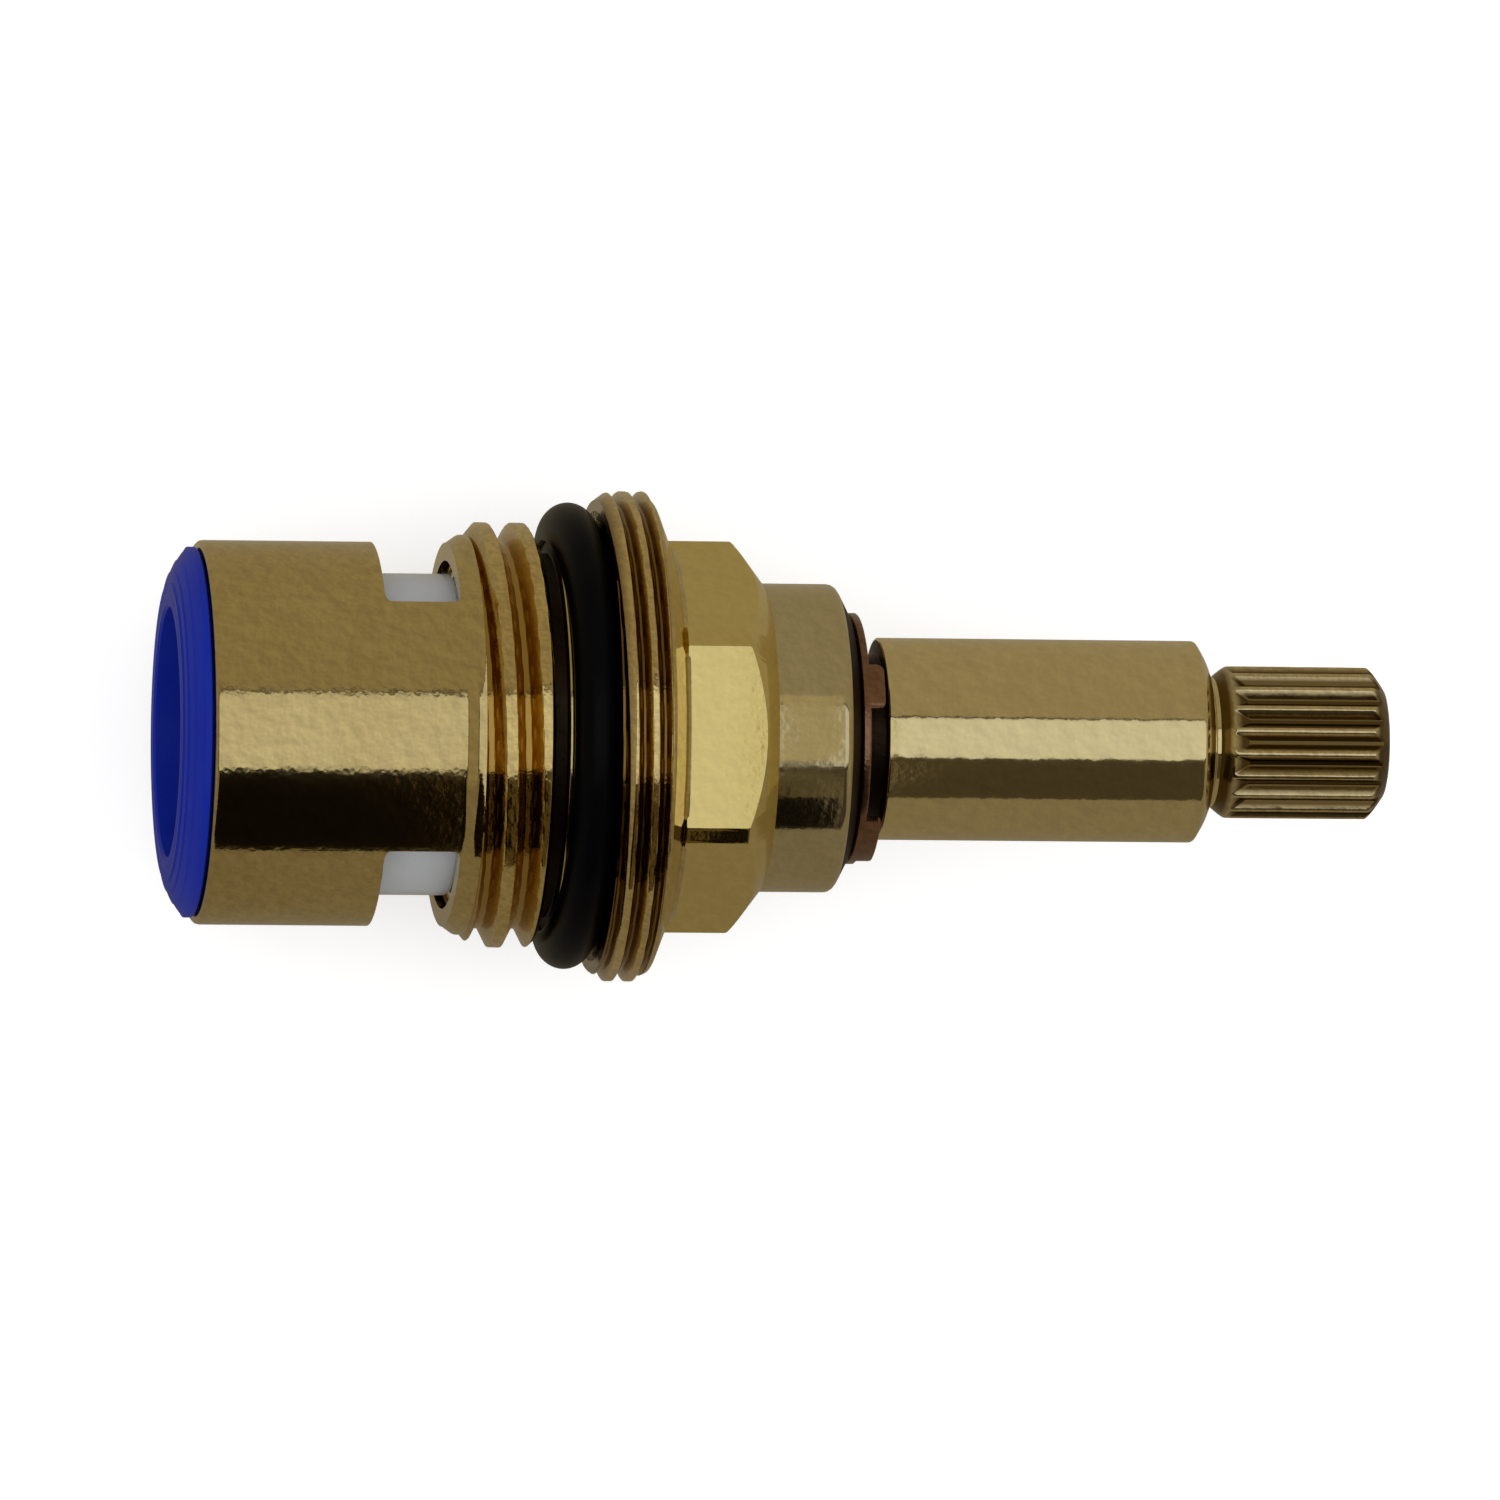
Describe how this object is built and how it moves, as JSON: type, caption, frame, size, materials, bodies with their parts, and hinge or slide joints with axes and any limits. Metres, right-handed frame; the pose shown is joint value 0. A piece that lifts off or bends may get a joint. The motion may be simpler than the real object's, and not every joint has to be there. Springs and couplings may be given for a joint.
{
  "type": "shower valve cartridge",
  "caption": "Quarter-turn ceramic disc cartridge for a shower valve, with a brass body, a rubber seat seal, a splined spindle and a spanner hexagon.",
  "frame": {"origin": "on the spindle's axis, half-way along the cartridge's whole length", "axes": "+X along the spindle towards its splined tip, +Z out of one flat of the spanner hexagon; the cartridge lies on its side as pictured from above"},
  "size_m": [0.0602, 0.024, 0.024],
  "materials": {
    "bonnet_brass": "machined brass",
    "flange_rubber": "black nitrile rubber",
    "seal_rubber": "blue moulded rubber",
    "support_plastic": "white plastic",
    "fixed_ceramic": "lapped white ceramic",
    "washer_plastic": "white plastic",
    "turning_ceramic": "lapped white ceramic",
    "spindle_brass": "machined brass",
    "stem_o_ring_lower_rubber": "black rubber",
    "stem_o_ring_upper_rubber": "black rubber",
    "clip_bronze": "bronze spring strip"
  },
  "bodies": {
    "valve_body": {"bonnet": "bonnet_brass", "flange_o_ring": "flange_rubber", "seat_seal": "seal_rubber", "seal_support_ring": "support_plastic", "fixed_disc": "fixed_ceramic", "thrust_washer": "washer_plastic"},
    "spindle": {"spindle": "spindle_brass", "turning_disc": "turning_ceramic", "stem_o_ring_lower": "stem_o_ring_lower_rubber", "stem_o_ring_upper": "stem_o_ring_upper_rubber", "retaining_clip": "clip_bronze"}
  },
  "joints": [
    {"name": "quarter_turn", "type": "hinge", "parent": "valve_body", "child": "spindle", "pos_m": [0, 0, 0], "axis": [1, 0, 0], "range_deg": [0, 90]}
  ]
}
